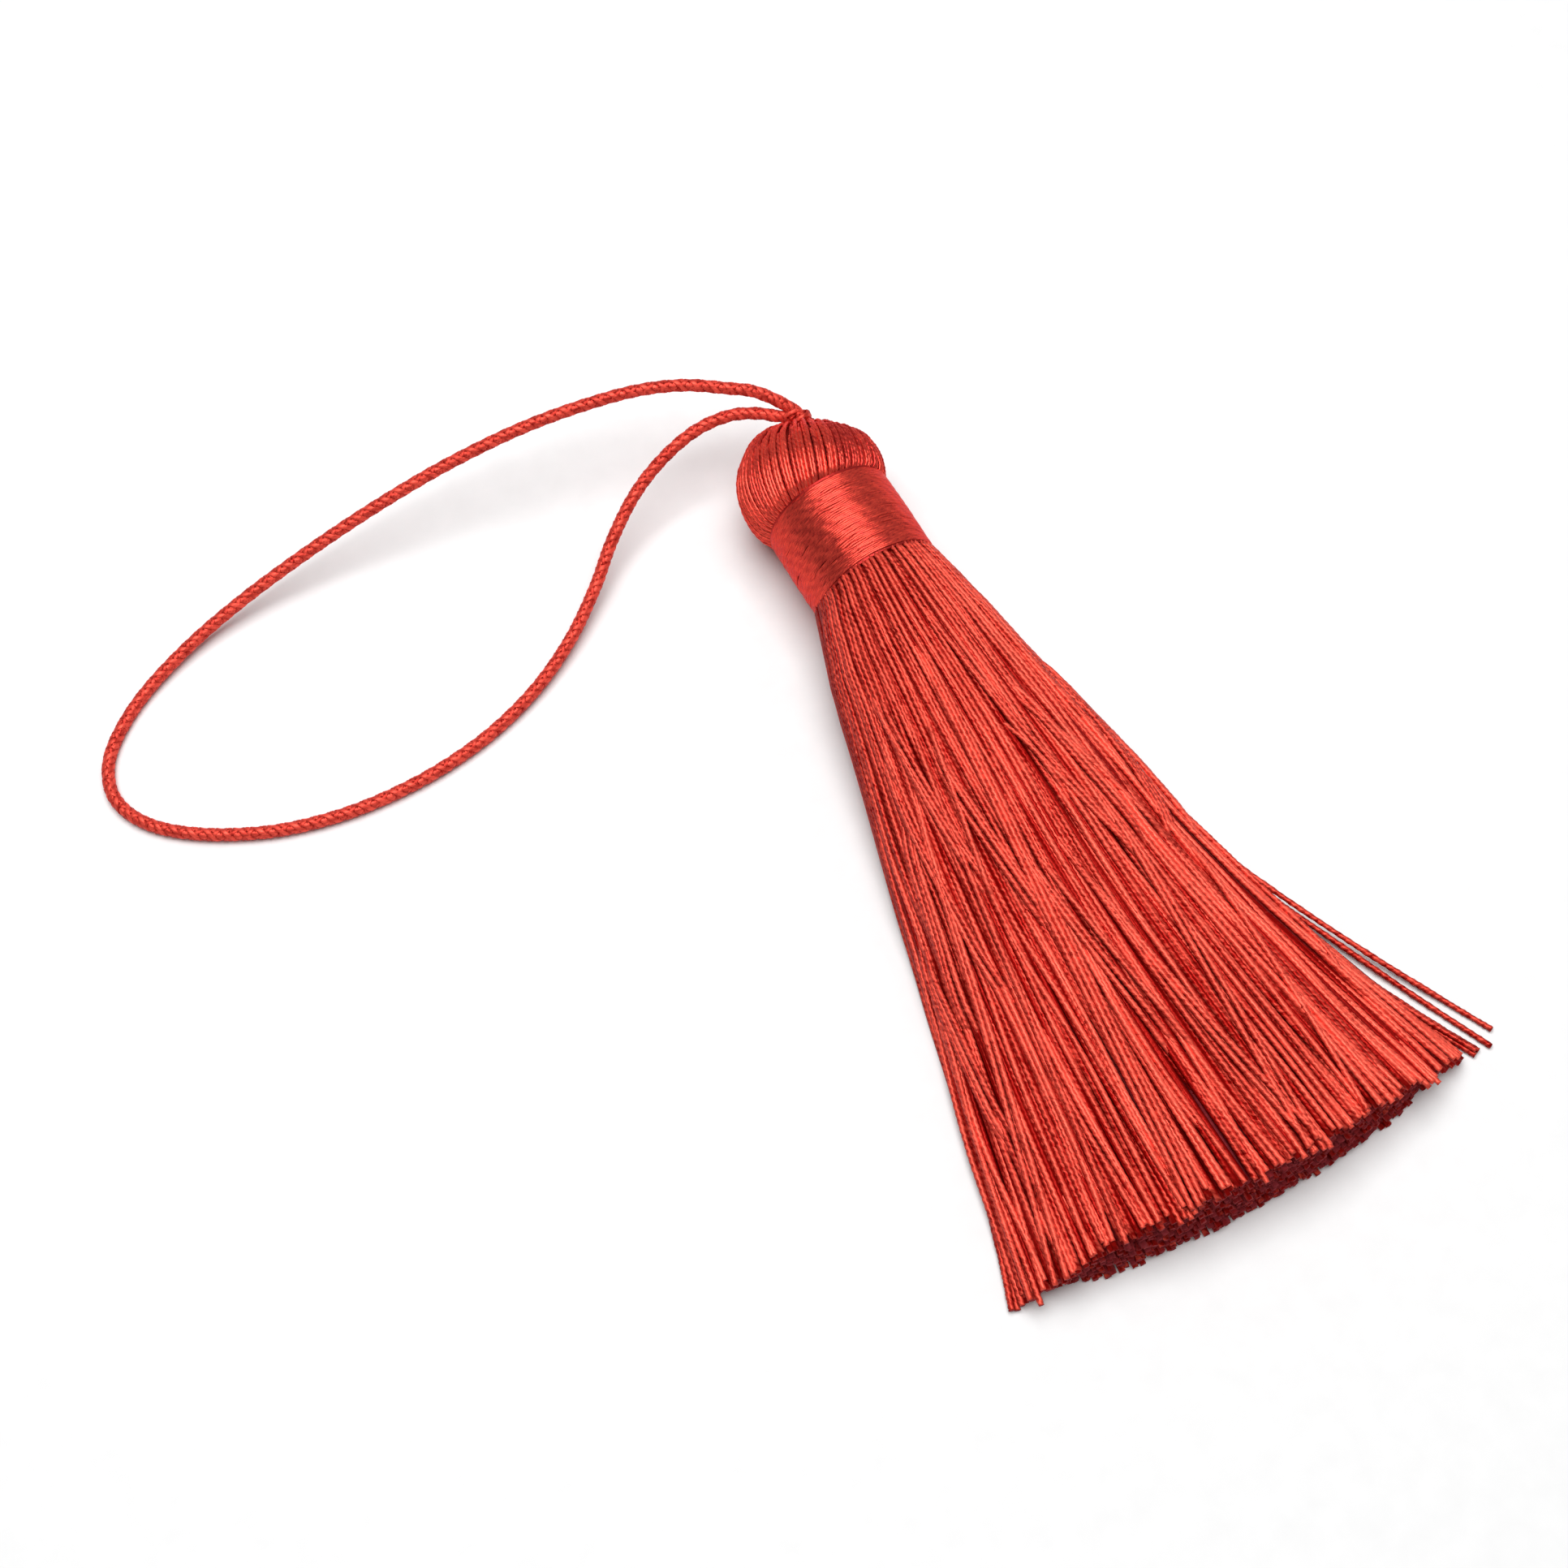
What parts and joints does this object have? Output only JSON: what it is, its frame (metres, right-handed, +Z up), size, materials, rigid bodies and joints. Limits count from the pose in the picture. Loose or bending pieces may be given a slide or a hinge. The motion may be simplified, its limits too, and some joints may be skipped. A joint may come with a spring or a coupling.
{
  "type": "tassel",
  "caption": "Silk tassel with a round thread head, a wound neck binding, a spreading skirt of cut threads and a braided hanging loop.",
  "frame": {"origin": "middle of the tassel's footprint on the surface it lies on, without the hanging loop's cord", "axes": "+Z up from the surface, +Y from the cut hem to the head, +X across the skirt; the loop lies towards -X"},
  "size_m": [0.0926, 0.0918, 0.0131],
  "materials": {
    "skirt_silk": "lustrous two-ply silk thread, red",
    "binding_silk": "fine silk thread wound side by side, satin, red",
    "cord_silk": "fine braided silk cord, red"
  },
  "bodies": {
    "root": {"thread_bundle": "skirt_silk", "neck_binding": "binding_silk", "loop_knot": "cord_silk", "hanging_loop": "cord_silk"}
  },
  "joints": []
}
